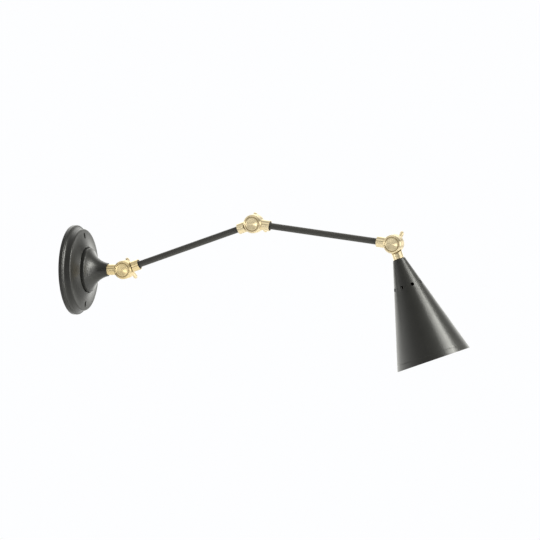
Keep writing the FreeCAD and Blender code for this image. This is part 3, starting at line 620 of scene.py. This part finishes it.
def grow(name, tree, sizes, finish, place, body):
    piece = addObject(name, bpy.data.meshes.new(name))
    shaper = piece.modifiers.new("shaper", "NODES")
    shaper.node_group = tree
    sockets = {item.name: item.identifier for item in tree.interface.items_tree if item.in_out == "INPUT"}
    for label, value in sizes.items():
        shaper[sockets[label]] = value
    shaper[sockets["Finish"]] = finish
    piece.data = baked(piece)
    piece.modifiers.clear()
    piece.data.transform(place)
    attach(piece, body)
    print(name, "grown:", len(piece.data.polygons), "faces")


# Threads on the ends of two nipples.

nippleThread = {
    "pitch": 1.0 * mm,
    "ridge": 0.27 * mm,           # radius of the thread's ridge
    "sunk": 0.1 * mm,             # how far the ridge's middle lies under the nipple's skin
    "turnSteps": 40,
    "ridgeSides": 6,
    "tail": (0.1 * mm, 0.9),      # start from the rear end of the swivel nipple, and turns
    "neck": (28.9 * mm, 5.0),     # start from the wrist, below the shade's nut, and turns
}


def threadTree(make):
    tree, given = newTree("rolledThread", ("Radius", "Pitch", "Turns", "Ridge"))
    height = maths(tree, "MULTIPLY", given["Pitch"], given["Turns"])
    helix = geometry(tree, "CurveSpiral", {
        "Resolution": make["turnSteps"], "Rotations": given["Turns"], "Start Radius": given["Radius"],
        "End Radius": given["Radius"], "Height": height})
    ridge = geometry(tree, "CurvePrimitiveCircle", {"Resolution": make["ridgeSides"],
                                                    "Radius": given["Ridge"]})
    skin = geometry(tree, "CurveToMesh", {"Curve": helix, "Profile Curve": ridge, "Fill Caps": True})
    endTree(tree, skin, given["Finish"])
    return tree


rolledThread = threadTree(nippleThread)
tailEnd = min(point.dot(wallWay) for point in pointsFrom("swivel_nipple", Vector()))
tailRadius = outerRadius("swivel_nipple", Vector(), wallWay)
neckRadius = outerRadius("shade_nipple", wrist, shadeWay)
for name, radius, start, way, label, body in (
        ("swivelNippleThread", tailRadius, wallWay * tailEnd, wallWay, "tail", "stem"),
        ("shadeNippleThread", neckRadius, wrist, shadeWay, "neck", "shade_head")):
    offset, turns = nippleThread[label]
    threadSizes = {"Radius": radius - nippleThread["sunk"], "Pitch": nippleThread["pitch"], "Turns": turns,
                   "Ridge": nippleThread["ridge"]}
    place = frameOf(start + way * offset, hingeWay.cross(way).normalized(), way)
    grow(name, rolledThread, threadSizes, plainBrass, place, body)


# A rolled lip round each of the shade's vents.

ventRing = {
    "sizes": {
        "Count": 8,
        "Ring Radius": 20.4 * mm,
        "Slope": 0.2997,          # how much the shade widens with its length
        "Vent Radius": 2.52 * mm,
        "Lip Radius": 0.09 * mm,
    },
    "edgeSteps": 40,
    "lipSides": 10,
    "distance": 61.2 * mm,        # from the wrist's centre, along the shade
    "turn": 9.6,                  # degrees round the shade
}


def ventTree(make):
    tree, given = newTree("ventLips", ("Ring Radius", "Slope", "Vent Radius", "Lip Radius"), ("Count",))
    ring = geometry(tree, "MeshCircle", {"Vertices": given["Count"], "Radius": given["Ring Radius"]})
    edge = geometry(tree, "CurvePrimitiveCircle", {"Resolution": make["edgeSteps"],
                                                   "Radius": given["Vent Radius"]})
    bead = geometry(tree, "CurvePrimitiveCircle", {"Resolution": make["lipSides"],
                                                   "Radius": given["Lip Radius"]})
    lip = geometry(tree, "CurveToMesh", {"Curve": edge, "Profile Curve": bead})
    out = vectorMaths(tree, "NORMALIZE", geometry(tree, "InputPosition", {}))
    tilt = maths(tree, "MULTIPLY", given["Slope"], -1.0)
    square = vectorMaths(tree, "ADD", out, addNode(tree, "ShaderNodeCombineXYZ", {2: tilt}).outputs[0])
    facing = addNode(tree, "FunctionNodeAlignRotationToVector", {"Vector": square}, axis="Z").outputs[0]
    lips = geometry(tree, "InstanceOnPoints", {"Points": ring, "Instance": lip, "Rotation": facing})
    endTree(tree, lips, given["Finish"])
    return tree


ventPlace = frameOf(wrist + shadeWay * ventRing["distance"], hingeWay, shadeWay)
ventTurn = Matrix.Rotation(math.radians(ventRing["turn"]), 4, "Z")
grow("shadeVentLips", ventTree(ventRing), ventRing["sizes"], shadePaint, ventPlace @ ventTurn, "shade_head")


# Floor, light and background.

studio = {
    "white": rgb(0.985, 0.99, 1.0),
    "floorLevel": -0.62,
    "floorMiddle": (0.3, 0.0),
    "floorReach": 1.7,
    "floorSides": 96,
    "floorColour": rgb(0.86, 0.86, 0.85),
    "floorRough": 0.8,
    "floorFade": (0.25, 0.95),    # shares of its reach between which it turns white
    "floorWhite": {               # how white it is near the lamp, for each kind of ray
        "Is Camera Ray": 0.55,
        "Is Transmission Ray": 0.55,
        "Is Glossy Ray": 0.15,
    },
}
lights = {
    "keySoftbox": {"place": (1.75, -0.28, 0.80), "aim": (0.3, 0.0, -0.02), "size": (0.85, 0.85),
                   "power": 25.0, "brass": "EXCLUDE"},
    "tallStrip": {"place": (1.75, 0.0, 0.32), "aim": (0.0, 0.0, 0.32), "size": (0.36, 1.75),
                  "power": 23.0, "brass": "EXCLUDE"},
    "brassTop": {"place": (0.25, -0.75, 0.80), "aim": (0.25, 0.0, 0.05), "size": (1.0, 0.6),
                 "power": 1.3, "brass": "INCLUDE"},        # on the brass alone, along its collars
    "brassGlint": {"place": (-0.70, -1.2, -0.12), "aim": (0.25, 0.0, 0.05), "size": (0.3, 0.3),
                   "power": 1.1, "brass": "INCLUDE"},      # on the brass alone, a streak across its faces
}
room = {
    "colour": rgb(1.0, 1.0, 0.935),
    "whiteShare": 0.3,                      # how much of the white background reflections see, over the room
    "wallSide": (-1.0, 0.1, 0.79, 0.0),     # along X, from and to, and the light at each
    "ceiling": (0.30, 0.80, 0.0, 0.45),     # the same along Z
    "patches": (                            # light along one way, and where it fades along another
        ("X", (-0.75, -0.42, 2.71, 0.0), "height", (0.05, 0.20)),    # behind the canopy, level with the lamp
        ("X", (0.10, 0.50, 0.70, 0.0), "height", (0.08, 0.38)),      # a pale band at the lamp's own height
        ("X", (0.70, 0.92, 0.0, 3.29), "height", (0.12, 0.50)),      # a low opening beyond the shade
        ("Y", (0.0, 0.7, 0.0, 2.43), "X", (0.10, 0.58)),             # the backdrop, beyond the wing screws
    ),
}


def studioWorld():
    world = bpy.data.worlds.new("studioWorld")
    scene.world = world
    world.use_nodes = True
    tree = world.node_tree
    way = addNode(tree, "ShaderNodeTexCoord").outputs["Generated"]
    parts = addNode(tree, "ShaderNodeSeparateXYZ", {0: way}).outputs
    ways = {"X": parts["X"], "Y": parts["Y"], "height": maths(tree, "ABSOLUTE", parts["Z"])}
    level = largest(tree, spread(tree, parts["X"], *room["wallSide"]),
                    spread(tree, parts["Z"], *room["ceiling"], True))
    for litWay, light, fadeWay, fade in room["patches"]:
        lit = spread(tree, ways[litWay], *light, True)
        kept = spread(tree, ways[fadeWay], *fade, 1.0, 0.0, True)
        level = largest(tree, level, maths(tree, "MULTIPLY", lit, kept))
    ray = addNode(tree, "ShaderNodeLightPath").outputs
    mirrored = maths(tree, "MULTIPLY", ray["Is Glossy Ray"], room["whiteShare"])
    seen = largest(tree, ray["Is Camera Ray"], ray["Is Transmission Ray"], mirrored)
    feed(tree, tree.nodes["Background"], Color=mixed(tree, "RGBA", seen, room["colour"], studio["white"]),
         Strength=mixed(tree, "FLOAT", seen, level, 1.0))


def brassPieces(name, state):
    group = bpy.data.collections.new(name)
    for piece in [nodes[node] for node in knuckleHalves] + wingCastings:
        group.objects.link(piece)
    for item in group.collection_objects:
        item.light_linking.link_state = state
    return group


def areaLight(name, size, power, place, aim, brass):
    data = bpy.data.lights.new(name, "AREA")
    data.shape = "RECTANGLE"
    data.size, data.size_y = size
    data.energy = power
    data.color = room["colour"][:3]
    lamp = bpy.data.objects.new(name, data)
    lamp.location = place
    lamp.rotation_euler = (Vector(aim) - lamp.location).to_track_quat("-Z", "Y").to_euler()
    scene.collection.objects.link(lamp)
    lamp.light_linking.receiver_collection = brassPieces(f"{name}Brass", brass)


def paleFloor():
    middle = (*studio["floorMiddle"], studio["floorLevel"])
    mesh = bpy.data.meshes.new("studioFloor")
    shape = bmesh.new()
    bmesh.ops.create_circle(shape, cap_ends=True, segments=studio["floorSides"],
                            radius=studio["floorReach"], matrix=Matrix.Translation(middle))
    shape.to_mesh(mesh)
    shape.free()
    floor = addObject("studioFloor", mesh)
    material, tree, shader, place = newFinish("studioFloorPaint", Roughness=studio["floorRough"],
                                              Base_Color=studio["floorColour"])
    far = vectorMaths(tree, "DISTANCE", place, middle, 1)
    fadeFrom, fadeTo = (share * studio["floorReach"] for share in studio["floorFade"])
    ray = addNode(tree, "ShaderNodeLightPath").outputs
    whites = [maths(tree, "MULTIPLY", ray[kind], spread(tree, far, fadeFrom, fadeTo, near, 1.0, True))
              for kind, near in studio["floorWhite"].items()]
    glow = addNode(tree, "ShaderNodeEmission", {"Color": studio["white"], "Strength": 1.0}).outputs[0]
    pale = addNode(tree, "ShaderNodeMixShader", {0: largest(tree, *whites), 1: shader.outputs[0], 2: glow})
    under = addNode(tree, "ShaderNodeNewGeometry").outputs["Backfacing"]      # seen from below it is clear
    clear = addNode(tree, "ShaderNodeBsdfTransparent").outputs[0]
    surface = addNode(tree, "ShaderNodeMixShader", {0: under, 1: pale.outputs[0], 2: clear}).outputs[0]
    feed(tree, tree.nodes["Material Output"], Surface=surface)
    mesh.materials.append(material)


studioWorld()
for name, light in lights.items():
    areaLight(name, **light)
paleFloor()
print("floor and light set")
